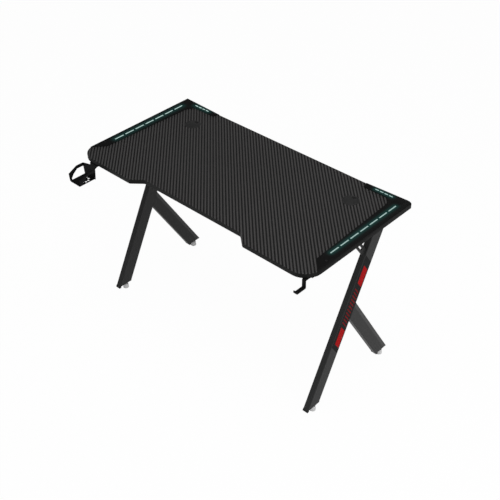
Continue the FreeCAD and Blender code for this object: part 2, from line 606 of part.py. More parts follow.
brace_slot = [slot_corner(-1, -1), slot_corner(-1, 1), slot_corner(1, 1), slot_corner(1, -1)]
pocket(brace, outline(brace, "YZ_Plane", [brace_slot], "leg_line"), "brace_thick", symmetric=True)
nodes += [front_leg, mirrored(front_leg), strut, mirrored(strut), rail, mirrored(rail), brace, mirrored(brace)]

# Plugs in the tube ends and the levelling feet that screw into them


def plug(name, foot, shift, lean, span, wall_span):
    """A plug that closes a leaning tube's lower end, with a toe ahead of the upright hole for the foot's stem."""
    body = new_body(name)
    low = "tube_cut - plug_flange"
    toe = f"{foot} - {span} / 2 - {lean} * (plug_flange + toe_drop)"
    flange = [
        (f"{foot} - {span} / 2", "tube_cut"), (toe, f"{low} - toe_drop"), (f"{toe} + toe_thick", f"{low} - toe_drop"),
        (f"{toe} + toe_thick", low), (f"{foot} + {span} / 2", low), (f"{foot} + {span} / 2", "tube_cut")]
    pad(body, outline(body, "YZ_Plane", [flange], "leg_line"), "tube_wide", symmetric=True)
    reach = f"({span} / 2 - {wall_span} - fit_gap)"
    core = [(f"{foot} - {reach}", "tube_cut"), (f"{foot} + {reach}", "tube_cut"),
            (f"{foot} + {lean} * plug_high + {reach}", "tube_cut + plug_high"),
            (f"{foot} + {lean} * plug_high - {reach}", "tube_cut + plug_high")]
    core_sketch = outline(body, "YZ_Plane", [core], "leg_line")
    pad(body, core_sketch, "tube_wide - 2 * (tube_wall + fit_gap)", symmetric=True)
    spot = ("leg_line", f"{foot} + {shift}", "stem_round + 2 * stem_gap")
    hole = circles(body, "XY_Plane", [spot], "tube_cut + plug_high")
    pocket(body, hole, "plug_high + plug_flange")
    return body


def levelling_foot(name, foot):
    """A round pad on the floor with a threaded stem."""
    stem_top = "pad_high + stem_long"
    return turned(name, [
        ("0", "0"), ("pad_round / 2 - pad_edge", "0"), ("pad_round / 2", "pad_edge"),
        ("pad_neck_round / 2", "pad_high - pad_edge"), ("pad_neck_round / 2 - pad_edge", "pad_high"),
        ("stem_round / 2", "pad_high"), ("stem_round / 2", f"{stem_top} - pad_edge"),
        ("stem_round / 2 - pad_edge", stem_top), ("0", stem_top)], "leg_line", foot)


front_plug = plug("right_front_plug", "front_foot", "front_foot_shift", "leg_lean", "leg_span", "leg_wall_span")
rear_plug = plug("right_rear_plug", "rear_foot", "rear_foot_shift", "strut_lean", "strut_span", "strut_wall_span")
front_pad = levelling_foot("right_front_foot", "front_foot + front_foot_shift")
rear_pad = levelling_foot("right_rear_foot", "rear_foot + rear_foot_shift")
for piece in (front_plug, rear_plug, front_pad, rear_pad):
    nodes += [piece, mirrored(piece)]

# Crossbars: tubes across the desk under the board, with end plates bolted to the rails


def crossbar(name, row):
    """A tube with a wider plate welded on each end."""
    body = new_body(name)
    section = rectangle(f"{row} - bar_deep / 2", "rail_under", f"{row} + bar_deep / 2", "board_under")
    pad(body, outline(body, "YZ_Plane", [section]), "2 * rail_inside", symmetric=True)
    bore = rectangle(f"{row} - bar_deep / 2 + tube_wall", "rail_under + tube_wall",
                     f"{row} + bar_deep / 2 - tube_wall", "board_under - tube_wall")
    pocket(body, outline(body, "YZ_Plane", [bore]), "2 * rail_inside", symmetric=True)
    plate = rectangle(f"{row} - end_plate_long / 2", "rail_under", f"{row} + end_plate_long / 2", "board_under")
    pad(body, outline(body, "YZ_Plane", [plate], "rail_inside"), "end_plate_thick", reverse=True)
    pad(body, outline(body, "YZ_Plane", [plate], "-rail_inside"), "end_plate_thick")
    holes = [(f"{row} {side} bolt_spacing / 2", "bolt_height", "bolt_round + 2 * fit_gap") for side in "-+"]
    pocket(body, circles(body, "YZ_Plane", holes), "2 * rail_inside", symmetric=True)
    return body


nodes += [crossbar("front_crossbar", "front_bar"), crossbar("rear_crossbar", "rear_bar")]

# Cable grommets: a flanged liner in the board and a lid that turns on its ledge

liner = turned("right_grommet_liner", [
    ("liner_inside", "flange_top"), ("grommet_flange_round / 2", "flange_top"),
    ("grommet_flange_round / 2", "flange_under"), ("grommet_hole / 2 - fit_gap", "flange_under"),
    ("grommet_hole / 2 - fit_gap", "desk_height - liner_long"), ("liner_inside", "desk_height - liner_long"),
    ("liner_inside", "ledge_top - ledge_thick"), ("liner_inside - ledge_wide", "ledge_top - ledge_thick"),
    ("liner_inside - ledge_wide", "ledge_top"), ("liner_inside", "ledge_top")], "grommet_line", "grommet_row")
lid = turned("right_grommet_lid", [
    ("0", "ledge_top + lid_gap / 3"), ("liner_inside - lid_gap", "ledge_top + lid_gap / 3"),
    ("liner_inside - lid_gap", "ledge_top + lid_thick"), ("0", "ledge_top + lid_thick")],
    "grommet_line", "grommet_row")
notch = rectangle("-notch_wide / 2", "liner_inside - notch_deep", "notch_wide / 2", "liner_inside + notch_deep")
pocket(lid, outline(lid, "XY_Plane", [notch], "ledge_top + lid_thick"), "lid_thick")
nodes += [liner, mirrored(liner), lid, mirrored(lid)]

# Cup holder: folded sheet with a drained floor, two windowed side walls and a neck bolted under the board

cup = new_body("cup_holder")


def cup_side(height, side, inner):
    """The X of a side wall at a height above the floor, on its outer or inner face."""
    return f"cup_line {side} (cup_floor_wide / 2 + cup_lean * ({height}) - {inner} * cup_sheet)"


channel = [
    (cup_side("cup_wall_high", "-", 0), "cup_under + cup_wall_high"), (cup_side("0", "-", 0), "cup_under"),
    (cup_side("0", "+", 0), "cup_under"), (cup_side("cup_wall_high", "+", 0), "cup_under + cup_wall_high"),
    (cup_side("cup_wall_high", "+", 1), "cup_under + cup_wall_high"),
    (cup_side("cup_sheet", "+", 1), "cup_under + cup_sheet"),
    (cup_side("cup_sheet", "-", 1), "cup_under + cup_sheet"),
    (cup_side("cup_wall_high", "-", 1), "cup_under + cup_wall_high")]
cup_channel = pad(cup, outline(cup, "XZ_Plane", [channel], "-front_edge"), "cup_reach")


def floor_bend(height):
    """The channel's edges along the fold between its floor and its walls, at a height above the floor's underside."""
    def along(start, end):
        low = abs(start.z - measure("cup_under") - measure(height)) < 1e-6
        return low and abs(start.z - end.z) < 1e-6 and abs(start.y - end.y) > 10
    return along


fillet(cup, edges_where(cup_channel, floor_bend("0 * cup_sheet")), "cup_bend")
fillet(cup, edges_where(cup.Tip, floor_bend("cup_sheet")), "cup_bend - cup_sheet")
window = [
    ("cup_front + cup_post", "cup_under + cup_sill"), ("front_edge - cup_sheet", "cup_under + cup_sill"),
    ("front_edge - cup_sheet", "cup_under + cup_rear_high - cup_band"),
    ("front_edge - arch_rear", "cup_under + cup_wall_high - cup_band"),
    ("front_edge - arch_front", "cup_under + cup_wall_high - cup_band"),
    ("cup_front + cup_post + window_cut", "cup_under + cup_front_high - cup_band + window_cut / 4"),
    ("cup_front + cup_post", "cup_under + cup_front_high - cup_band - window_cut")]
pocket(cup, outline(cup, "YZ_Plane", [window], "cup_line"), "cup_mouth_wide + cup_sheet", symmetric=True)
front_slope = [
    ("cup_front", "cup_under + cup_front_high"), ("front_edge - arch_front", "cup_under + cup_wall_high"),
    ("cup_front", "cup_under + cup_wall_high")]
rear_slope = [
    ("front_edge", "cup_under + cup_rear_high"), ("front_edge - arch_rear", "cup_under + cup_wall_high"),
    ("front_edge", "cup_under + cup_wall_high")]
arch = outline(cup, "YZ_Plane", [front_slope, rear_slope], "cup_line")
pocket(cup, arch, "cup_mouth_wide + cup_sheet", symmetric=True)
back = [
    (cup_side("0", "-", 0), "cup_under"), (cup_side("0", "+", 0), "cup_under"),
    (cup_side("cup_rear_high", "+", 0), "cup_under + cup_rear_high"),
    ("neck_line + neck_wide / 2", "board_under"), ("neck_line - neck_wide / 2", "board_under"),
    ("neck_line - neck_wide / 2", "board_under - neck_drop"),
    (cup_side("cup_rear_high", "-", 0), "cup_under + cup_rear_high")]
pad(cup, outline(cup, "XZ_Plane", [back], "-front_edge"), "cup_sheet")
cup_flange = rectangle("neck_line - neck_wide / 2", "front_edge - cup_sheet",
                       "neck_line + neck_wide / 2", "front_edge + cup_flange_deep")
pad(cup, outline(cup, "XY_Plane", [cup_flange], "board_under"), "cup_sheet", reverse=True)
cup_holes = [(x, y, "small_screw_round + 2 * fit_gap") for x, y in cup_screw_spots]
pocket(cup, circles(cup, "XY_Plane", cup_holes, "board_under"), "cup_sheet")
drain_sketch = circles(cup, "XY_Plane", [
    ("drain_ring / 2 * cos(drain_start * 1deg)", "-drain_ring / 2 * sin(drain_start * 1deg)", "drain_round")],
    "cup_under + cup_sheet")
drain_sketch.setExpression("AttachmentOffset.Base.x", bind("cup_line + drain_shift"))
drain_sketch.setExpression("AttachmentOffset.Base.y", bind("front_edge + drain_back - (cup_reach + cup_sheet) / 2"))
drain = pocket(cup, drain_sketch, "cup_sheet")
drain_row = cup.newObject("PartDesign::PolarPattern", "cup_holder_drains")
drain_row.Originals = [drain]
drain_row.Axis = (drain_sketch, ["N_Axis"])
drain_row.setExpression("Angle", bind("drain_sweep * 1deg"))
drain_row.setExpression("Occurrences", bind("drain_count"))
cup.Tip = drain_row
doc.recompute()
nodes.append(cup)

# Headset hook: one bent strip screwed under the board

hook = new_body("headset_hook")
hook_plan = [
    ("hook_back + hook_flange_long", "board_under"), ("hook_back", "board_under"),
    ("hook_back", "hook_low + hook_thick"), ("hook_back - hook_reach + hook_thick", "hook_low + hook_thick"),
    ("hook_back - hook_reach + hook_thick", "hook_low + hook_tip"), ("hook_back - hook_reach", "hook_low + hook_tip"),
    ("hook_back - hook_reach", "hook_low"), ("hook_back + hook_thick", "hook_low"),
    ("hook_back + hook_thick", "board_under - hook_thick"),
    ("hook_back + hook_flange_long", "board_under - hook_thick")]
hook_strip = pad(hook, outline(hook, "YZ_Plane", [hook_plan], "hook_line"), "hook_wide", symmetric=True)


def across_at(spots):
    """A test for edges that run across the strip at one of the given (y, z) expressions."""
    points = [(measure(y), measure(z)) for y, z in spots]

    def test(start, end):
        level = abs(start.y - end.y) < 1e-6 and abs(start.z - end.z) < 1e-6
        return level and any(abs(start.y - y) < 1e-3 and abs(start.z - z) < 1e-3 for y, z in points)
    return test


outer_bends = [hook_plan[1], hook_plan[6], hook_plan[7]]
inner_bends = [hook_plan[2], hook_plan[3], hook_plan[8]]
fillet(hook, edges_where(hook_strip, across_at(outer_bends)), "hook_bend")
fillet(hook, edges_where(hook.Tip, across_at(inner_bends)), "hook_bend - hook_thick")
hook_holes = [(x, y, "small_screw_round + 2 * fit_gap") for x, y in hook_screw_spots]
pocket(hook, circles(hook, "XY_Plane", hook_holes, "board_under"), "hook_thick")
nodes.append(hook)

# Light controller: a case under the board with its cover, circuit board, power inlet and mode button

cover = new_body("controller_cover")
cover_plan = rectangle("control_line - case_wide / 2 - ear_long", "control_front",
                       "control_line + case_wide / 2 + ear_long", "control_rear")
pad(cover, outline(cover, "XY_Plane", [cover_plan], "board_under"), "lid_plate_thick", reverse=True)
ear_holes = [(x, y, "small_screw_round + 2 * fit_gap") for x, y in ear_spots]
pocket(cover, circles(cover, "XY_Plane", ear_holes, "board_under"), "lid_plate_thick")

case = new_body("controller_case")
case_plan = rectangle("control_line - case_wide / 2", "control_front", "control_line + case_wide / 2", "control_rear")
pad(case, outline(case, "XY_Plane", [case_plan], "case_under"), "case_high")
case_room = rectangle("control_line - case_wide / 2 + case_wall", "control_front + case_wall",
                      "control_line + case_wide / 2 - case_wall", "control_rear - case_wall")
pocket(case, outline(case, "XY_Plane", [case_room], "case_top"), "case_high - case_wall")
ledge_spots = [(f"control_line {side} (case_wide / 2 - 2 * case_wall)", f"{edge} (case_wall * 2)")
               for side in "-+" for edge in ("control_front +", "control_rear -")]
posts = [rectangle(f"{x} - case_wall", f"{y} - case_wall", f"{x} + case_wall", f"{y} + case_wall")
         for x, y in ledge_spots]
pad(case, outline(case, "XY_Plane", posts, "case_under + case_wall"), "circuit_height")
button_hole = circles(case, "XZ_Plane", [("control_line", "button_height", "button_round + 2 * button_gap")],
                      "-control_front")
pocket(case, button_hole, "case_wall")
inlet_low = "circuit_under + circuit_thick"
inlet_window = rectangle(
    "control_line + inlet_shift - inlet_wide / 2 - fit_gap", f"{inlet_low} - fit_gap",
    "control_line + inlet_shift + inlet_wide / 2 + fit_gap", f"{inlet_low} + inlet_high + fit_gap")
pocket(case, outline(case, "XZ_Plane", [inlet_window], "-control_rear"), "case_wall", reverse=True)

circuit = new_body("controller_circuit")
circuit_plan = rectangle(
    "control_line - case_wide / 2 + case_wall + fit_gap", "control_front + case_wall + fit_gap",
    "control_line + case_wide / 2 - case_wall - fit_gap", "control_rear - case_wall - fit_gap")
pad(circuit, outline(circuit, "XY_Plane", [circuit_plan], "circuit_under"), "circuit_thick")
button_room = rectangle(
    "control_line - button_round / 2 - button_rim - button_margin", "control_front",
    "control_line + button_round / 2 + button_rim + button_margin",
    "control_front + case_wall + button_gap + button_long + 2 * button_margin")
pocket(circuit, outline(circuit, "XY_Plane", [button_room], "circuit_under + circuit_thick"), "circuit_thick")
chip_box = rectangle("control_line - case_wide / 3", "control_front + case_deep / 3",
                     "control_line - case_wide / 6", "control_front + case_deep * 2 / 3")
pad(circuit, outline(circuit, "XY_Plane", [chip_box], inlet_low), "circuit_thick")

inlet = new_body("power_inlet")
inlet_box = rectangle("control_line + inlet_shift - inlet_wide / 2", inlet_low,
                      "control_line + inlet_shift + inlet_wide / 2", f"{inlet_low} + inlet_high")
pad(inlet, outline(inlet, "XZ_Plane", [inlet_box], "-control_rear"), "inlet_long")
inlet_hole = rectangle(
    "control_line + inlet_shift - inlet_hole_wide / 2", f"{inlet_low} + (inlet_high - inlet_hole_high) / 2",
    "control_line + inlet_shift + inlet_hole_wide / 2", f"{inlet_low} + (inlet_high + inlet_hole_high) / 2")
pocket(inlet, outline(inlet, "XZ_Plane", [inlet_hole], "-control_rear"), "inlet_hole_deep", reverse=True)

button = new_body("mode_button")
button_face = circles(button, "XZ_Plane", [("control_line", "button_height", "button_round")],
                      "button_proud - control_front")
pad(button, button_face, "button_proud + case_wall + button_gap + button_long", reverse=True)
button_flange = circles(button, "XZ_Plane", [("control_line", "button_height", "button_round + 2 * button_rim")],
                        "-control_front - case_wall - button_gap")
pad(button, button_flange, "button_rim", reverse=True)
nodes += [cover, case, circuit, inlet, button]

# Fasteners: each kind is one node of separate screws

wood_screw = fastener("wood_screw", "screw_head_round", "screw_head_high", "screw_round", "rail_high + screw_bite")
rail_seats = [("leg_line", y, "rail_under", 1) for y in rail_screw_rows]
nodes.append(group("board_screws", wood_screw, both_sides(rail_seats)))

bolt_long = "rail_wide + end_plate_thick + nut_high + bolt_tail"
bar_bolt = fastener("bar_bolt", "bolt_head_round", "bolt_head_high", "bolt_round", bolt_long)
bolt_seats = [("rail_outside", y, "bolt_height", -1) for y in bolt_rows]
bolt_seats += [("-rail_outside", y, "bolt_height", 1) for y in bolt_rows]
nodes.append(group("crossbar_bolts", bar_bolt, bolt_seats, axis=(1, 0, 0)))

bar_nut = new_body("bar_nut")
nut_corners = [(f"nut_round / 2 * cos({index * 60}deg)", f"nut_round / 2 * sin({index * 60}deg)")
               for index in range(6)]
pad(bar_nut, outline(bar_nut, "XY_Plane", [nut_corners]), "nut_high")
pocket(bar_nut, circles(bar_nut, "XY_Plane", [("0", "0", "bolt_round + 2 * fit_gap")], "nut_high"), "nut_high")
nut_seats = [("rail_inside - end_plate_thick", y, "bolt_height", -1) for y in bolt_rows]
nut_seats += [("end_plate_thick - rail_inside", y, "bolt_height", 1) for y in bolt_rows]
nodes.append(group("crossbar_nuts", bar_nut, nut_seats, axis=(1, 0, 0)))

trim_screw = fastener("trim_screw", "small_head_round", "small_head_high", "small_screw_round", "trim_screw_long")
trim_seats = [(x, y, "board_under", 1) for x, y in trim_spots]
nodes.append(group("trim_screws", trim_screw, both_sides(trim_seats)))

for name, spots, seat_thick in (("cup_holder_screws", cup_screw_spots, "cup_sheet"),
                                ("hook_screws", hook_screw_spots, "hook_thick"),
                                ("controller_screws", ear_spots, "lid_plate_thick")):
    single = fastener(name + "_single", "small_head_round", "small_head_high", "small_screw_round",
                      f"({seat_thick} + small_screw_bite)")
    nodes.append(group(name, single, [(x, y, f"board_under - {seat_thick}", 1) for x, y in spots]))

# Every object has to be sound before any file is written

doc.recompute()
for item in doc.Objects:
    if "Invalid" in item.State or "Error" in item.State:
        raise RuntimeError(f"{item.Label}: {item.State}")
os.makedirs("parts", exist_ok=True)
for node in nodes:
    shape = node.Shape
    if shape.isNull() or not shape.isValid() or not shape.Solids:
        raise RuntimeError(f"{node.Label}: no sound solid")
for node in nodes:
    node.Shape.exportStep(f"parts/{node.Label}.step")
print(len(nodes), "pieces written")
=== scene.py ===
# %% [markdown]
# # A gaming desk, dressed
#
# The desk's solids already exist, in metres, with their joints. This lesson gives them their looks:
# a carbon-look film on the top, lit corner trims, powder-coated legs and the small moulded pieces.
# A solid whose shape is right keeps its mesh and gets a finish. A solid with hard edges that the
# real piece doesn't have gets a copy with softened edges, which stands for it.

# %% The frame and its names
import math
import bmesh
import bpy
from mathutils import Matrix, Vector


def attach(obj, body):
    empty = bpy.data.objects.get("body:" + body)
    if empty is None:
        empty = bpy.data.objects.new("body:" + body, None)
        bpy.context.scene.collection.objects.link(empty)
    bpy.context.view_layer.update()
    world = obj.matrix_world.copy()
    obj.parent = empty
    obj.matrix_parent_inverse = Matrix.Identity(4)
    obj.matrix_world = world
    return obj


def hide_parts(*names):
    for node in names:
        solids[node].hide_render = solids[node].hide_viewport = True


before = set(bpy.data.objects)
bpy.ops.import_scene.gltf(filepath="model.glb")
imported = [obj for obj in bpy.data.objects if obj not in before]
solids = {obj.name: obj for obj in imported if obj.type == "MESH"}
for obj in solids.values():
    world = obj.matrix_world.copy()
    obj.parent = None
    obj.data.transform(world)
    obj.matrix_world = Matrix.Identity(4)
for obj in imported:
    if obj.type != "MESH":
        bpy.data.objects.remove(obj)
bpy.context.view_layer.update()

# %% [markdown]
# ## The camera
#
# The photograph looks down on the desk from its right front corner. The angles and the focal length
# come from the vanishing lines of the top and the legs, so that the straight edges fall where the
# picture has them. The camera turns about its own axis first, then tips down, then swings round.

# %% Camera
SENSOR_MM = 36.0
FOCAL_PIXELS, PICTURE_PIXELS = 923.04, 500.0
CAMERA_PLACE = (2.0951, -2.0990, 2.7004)
SWING, DOWNWARD, ROLL = math.radians(43.717), math.radians(37.666), math.radians(-0.978)
camera_data = bpy.data.cameras.new("camera")
camera_data.sensor_width = SENSOR_MM
camera_data.lens = SENSOR_MM * FOCAL_PIXELS / PICTURE_PIXELS
camera = bpy.data.objects.new("camera", camera_data)
bpy.context.scene.collection.objects.link(camera)
swing = Matrix.Rotation(SWING, 4, "Z")
tip = Matrix.Rotation(math.pi / 2 - DOWNWARD, 4, "X")
roll = Matrix.Rotation(ROLL, 4, "Z")
camera.matrix_world = Matrix.Translation(CAMERA_PLACE) @ swing @ tip @ roll
bpy.context.scene.camera = camera
print("lens", round(camera_data.lens, 2), "mm")

# %% [markdown]
# ## Finishes written as sums
#
# A finish is a small network of nodes. It could be wired by hand in the node editor, but a weave takes
# over fifty nodes, and a formula is easier to read and to change. So a socket is wrapped in a class
# that adds a Math node for each plus or times, and a second class keeps the material and sets the
# shader's sockets by name.

# %% Shader sums
class Sum:
    """A shader socket that can be written in sums: each operator adds one Math node."""

    def __init__(self, finish, socket):
        self.finish = finish
        self.socket = socket

    def math(self, operation, *others, turned=False):
        terms = (*others, self) if turned else (self, *others)
        return self.finish.node("ShaderNodeMath", {"operation": operation}, dict(enumerate(terms)))

    def __add__(self, other):
        return self.math("ADD", other)

    def __sub__(self, other):
        return self.math("SUBTRACT", other)

    def __rsub__(self, other):
        return self.math("SUBTRACT", other, turned=True)

    def __mul__(self, other):
        return self.math("MULTIPLY", other)

    def __truediv__(self, other):
        return self.math("DIVIDE", other)

    __radd__ = __add__
    __rmul__ = __mul__

    def ramp(self, low, high):
        """0 below low and 1 above high, with a smooth step between."""
        return self.finish.node("ShaderNodeMapRange", {"interpolation_type": "SMOOTHSTEP"},
                                {"Value": self, "From Min": low, "From Max": high})


print("a socket can be written in sums")


# %% Finishes
class Finish:
    """A material under construction: nodes are added by type, sockets are set by name."""

    def __init__(self, name, **sockets):
        self.material = bpy.data.materials.new(name)
        self.material.use_nodes = True
        self.tree = self.material.node_tree
        self.shader = self.tree.nodes["Principled BSDF"]
        self.set(**sockets)

    def node(self, kind, settings=None, inputs=None, out=0):
        item = self.tree.nodes.new(kind)
        for key, value in (settings or {}).items():
            setattr(item, key, value)
        for key, value in (inputs or {}).items():
            self.feed(item.inputs[key], value)
        return Sum(self, item.outputs[out])

    def feed(self, socket, value):
        if isinstance(value, Sum):
            self.tree.links.new(value.socket, socket)
        else:
            socket.default_value = value

    def set(self, **sockets):
        for name, value in sockets.items():
            self.feed(self.shader.inputs[name.replace("_", " ")], value)

    def place(self):
        """Where a point lies on the desk, in metres: the vector and its three parts."""
        spot = self.node("ShaderNodeTexCoord", out="Object")
        parts = self.node("ShaderNodeSeparateXYZ", inputs={0: spot})
        outlets = parts.socket.node.outputs
        return spot, [Sum(self, outlet) for outlet in outlets]

    def noise(self, spot, scale, detail=2.0, stretch=(1, 1, 1)):
        """Cloudy variation from 0 to 1 at a scale in features per metre, stretched where asked."""
        if stretch != (1, 1, 1):
            spot = self.node("ShaderNodeMapping", inputs={"Vector": spot, "Scale": stretch})
        inputs = {"Vector": spot, "Scale": scale, "Detail": detail}
        return self.node("ShaderNodeTexNoise", inputs=inputs)

    def blend(self, factor, first, second):
        """A colour between two, by a factor from 0 to 1."""
        inputs = {0: factor, 6: first, 7: second}
        return self.node("ShaderNodeMix", {"data_type": "RGBA"}, inputs, out=2)

    def relief(self, height, depth):
        """Bump the surface by a height from 0 to 1 times a depth in metres."""
        inputs = {"Height": height, "Distance": depth, "Strength": 1.0}
        return self.node("ShaderNodeBump", inputs=inputs)


def shade(level, tint=(1.0, 1.0, 1.0)):
    """A colour from the 0 to 255 level that it shows on screen."""
    share = level / 255.0
    linear = share / 12.92 if share <= 0.04045 else ((share + 0.055) / 1.055) ** 2.4
    return (*(linear * part for part in tint), 1.0)


print("a grey that shows as 60 is", round(shade(60)[0], 4), "in light")

# %% [markdown]
# ## Studio
#
# The desk stands on a white floor. It is white to the camera and to reflections, and keeps a small
# share of its own shading, so that a trace of the desk's shadow stays. More light could bleach it too,
# but would bleach the desk with it. The walls are white as well, and the ceiling is dark, because the
# desk's top mirrors it: a white ceiling would turn black film grey. The left wall is dimmer than the
# right one, so that the faces turned to the front look darker than those turned to the right. The
# camera itself always sees white. One large softbox hangs overhead and a weaker one fills from the
# right.

# %% Floor
FLOOR_HALF = 9.0
WHITE_SHARE = 0.975
sweep = Finish("studio_floor")
rays = sweep.node("ShaderNodeLightPath").socket.node.outputs
seen = Sum(sweep, rays["Is Camera Ray"]) + Sum(sweep, rays["Is Glossy Ray"])
seen = seen + Sum(sweep, rays["Is Transmission Ray"])
lit = sweep.node("ShaderNodeBsdfDiffuse", inputs={"Color": (0.9, 0.9, 0.9, 1.0)})
white = sweep.node("ShaderNodeEmission", inputs={"Color": (1.0, 1.0, 1.0, 1.0), "Strength": 1.0})
both = sweep.node("ShaderNodeMixShader", inputs={0: seen * WHITE_SHARE, 1: lit, 2: white})
sweep.feed(sweep.tree.nodes["Material Output"].inputs["Surface"], both)
sweep.tree.nodes.remove(sweep.shader)

floor_shape = bmesh.new()
bmesh.ops.create_grid(floor_shape, x_segments=1, y_segments=1, size=FLOOR_HALF)
floor_mesh = bpy.data.meshes.new("floor")
floor_shape.to_mesh(floor_mesh)
floor_shape.free()
floor = bpy.data.objects.new("floor", floor_mesh)
floor.data.materials.append(sweep.material)
bpy.context.scene.collection.objects.link(floor)
print("floor", round(floor.dimensions.x), "m wide")


# %% Walls and ceiling
CEILING_LOSS, LEFT_WALL_LOSS = 0.78, 0.5


class Walls(Finish):
    """The studio's walls and ceiling, built with the same helpers as a finish."""

    def __init__(self, world):
        self.tree = world.node_tree
        self.shader = self.tree.nodes["Background"]


world = bpy.data.worlds.new("studio")
world.use_nodes = True
bpy.context.scene.world = world
walls = Walls(world)
towards = walls.node("ShaderNodeTexCoord", out="Generated")
parts = walls.node("ShaderNodeSeparateXYZ", inputs={0: towards}).socket.node.outputs
east, up = Sum(walls, parts["X"]), Sum(walls, parts["Z"])
watched = walls.node("ShaderNodeLightPath", out="Is Camera Ray")
ceiling = 1.0 - CEILING_LOSS * up.ramp(0.10, 0.45)
left_wall = 1.0 - LEFT_WALL_LOSS * (1.0 - east.ramp(-0.9, -0.1))
walls.set(Color=(1.0, 1.0, 1.0, 1.0), Strength=watched.math("MAXIMUM", ceiling * left_wall))
print("walls hung")


# %% Lamps
def softbox(name, place, target, width, power):
    """A square area lamp at a place, turned towards a target."""
    lamp = bpy.data.lights.new(name, "AREA")
    lamp.size = width
    lamp.energy = power
    item = bpy.data.objects.new(name, lamp)
    item.location = place
    item.rotation_euler = (Vector(target) - Vector(place)).to_track_quat("-Z", "Y").to_euler()
    bpy.context.scene.collection.objects.link(item)


softbox("overhead", place=(0.6, -0.4, 3.4), target=(0.0, 0.0, 0.7), width=2.6, power=62.0)
softbox("side_fill", place=(3.0, -0.7, 1.5), target=(0.0, 0.0, 0.4), width=1.8, power=26.0)
bpy.context.scene.view_settings.view_transform = "Standard"
print("studio ready")

# %% [markdown]
# ## Softened edges
#
# No moulded or folded piece has a perfectly sharp edge: it is the thin bright line along the edge
# that tells plastic from cardboard. A copy of the solid is welded, its flat faces are joined again,
# and its sharp edges are bevelled by a fraction of a millimetre. A Bevel modifier could do it as well,
# but the operator takes just the edges that the script picks. The copy then stands for the solid.

# %% Edge softener
SIDES = ("left", "right")
WELD_GAP = 2e-6
FLAT_ANGLE = math.radians(0.3)


def soften(node, finish, width, body="desk", segments=2, sharper_than=28.0):
    """A copy of a solid with its sharp edges bevelled, riding on the solid's body."""
    shape = bmesh.new()
    shape.from_mesh(solids[node].data)
    bmesh.ops.remove_doubles(shape, verts=shape.verts, dist=WELD_GAP)
    bmesh.ops.dissolve_limit(shape, angle_limit=FLAT_ANGLE, verts=shape.verts, edges=shape.edges)
    sharp = [edge for edge in shape.edges
             if len(edge.link_faces) == 2 and edge.calc_face_angle() > math.radians(sharper_than)]
    bmesh.ops.bevel(shape, geom=sharp, offset=width, offset_type="OFFSET", segments=segments,
                    profile=0.5, affect="EDGES", clamp_overlap=True, material=-1)
    piece = place_piece(node + "_soft", shape, finish, body)
    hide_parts(node)


def place_piece(name, shape, finish, body="desk", bend=50.0):
    """Turn a finished bmesh into a piece that belongs with a solid, with its finish."""
    mesh = bpy.data.meshes.new(name)
    shape.to_mesh(mesh)
    shape.free()
    mesh.shade_smooth()
    mesh.set_sharp_from_angle(angle=math.radians(bend))
    piece = bpy.data.objects.new(name, mesh)
    piece.data.materials.append(finish.material)
    bpy.context.scene.collection.objects.link(piece)
    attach(piece, body)
    return piece


def coat(node, finish):
    """Give a solid its finish."""
    solids[node].data.materials.clear()
    solids[node].data.materials.append(finish.material)


# %% [markdown]
# ## The carbon-look film
#
# The film is printed with a twill: bundles of thread that pass over two and under two of the bundles
# across them, each row one step further along, so that the eye sees slanted stripes. Whether a bundle
# lies on top follows from its column and row number alone, so the weave needs no picture, which would
# blur close by: it is a little counting on the surface's own coordinates. The bundles are a little
# round across their width, and have fine threads along them. The board's edges and underside are
# plain.

# %% Carbon film
def extent(node):
    """The lowest and the highest corner of a solid's box, in metres."""
    corners = [corner.co for corner in solids[node].data.vertices]
    return [Vector(pick(part) for part in zip(*corners)) for pick in (min, max)]


BUNDLE = 0.00414
COUNT_FROM = 4.0  # metres outside the desk, so that no column or row number is negative
EDGE_STARTS, EDGE_ENDS = 0.0016, 0.0010  # depths under the top, within which the rounded edge turns
board_top = extent("desktop_board")[1].z
film = Finish("carbon_film", Specular_IOR_Level=0.12)
spot, (x, y, z) = film.place()
column, row = (x + COUNT_FROM) / BUNDLE, (y + COUNT_FROM) / BUNDLE
step = (column.math("FLOOR") + row.math("FLOOR")).math("MODULO", 4.0)
on_top = step.math("LESS_THAN", 1.5)
across_column, across_row = column.math("FRACT") - 0.5, row.math("FRACT") - 0.5
round_column = 1.0 - across_column * across_column * 4.0
round_row = 1.0 - across_row * across_row * 4.0
bundle_round = round_row + on_top * (round_column - round_row)
threads_along = film.noise(spot, 900.0, stretch=(3.0, 0.12, 1.0))
threads_over = film.noise(spot, 900.0, stretch=(0.12, 3.0, 1.0))
threads = threads_over + on_top * (threads_along - threads_over)
clouds = film.noise(spot, 2.2, detail=3.0)
depth = (0.72 + 0.28 * bundle_round) * (0.84 + 0.32 * threads) * (0.92 + 0.16 * clouds)
weave = film.blend(on_top, shade(12), shade(70, (1.02, 0.99, 0.99)))
grey = film.node("ShaderNodeCombineColor", inputs={0: depth, 1: depth, 2: depth})
weave = film.node("ShaderNodeMix", {"data_type": "RGBA", "blend_type": "MULTIPLY"},
                  {0: 1.0, 6: weave, 7: grey}, out=2)
face = z.ramp(board_top - EDGE_STARTS, board_top - EDGE_ENDS)
weave = film.blend(face, film.blend(clouds, shade(8), shade(13)), weave)
film.set(Base_Color=weave, Normal=film.relief((bundle_round + threads * 0.3) * face, 0.00006))
film.set(Roughness=0.50 - on_top * face * 0.08 + clouds * 0.06)
coat("desktop_board", film)
print("twill stripes every", round(BUNDLE * 4 / math.sqrt(2) * 1000, 1), "mm")

# %% [markdown]
# ## Lit trims
#
# The trims are moulded in black plastic with a fine grain. The light that leaks out around the milky
# dashes colours the plastic next to them. Small lamps under the dashes could throw it, but so little
# light renders with much noise. So the trim's own finish glows faintly, by its distance from the two
# rows of dashes. On the left trim the glow is wider and softer than on the right one.

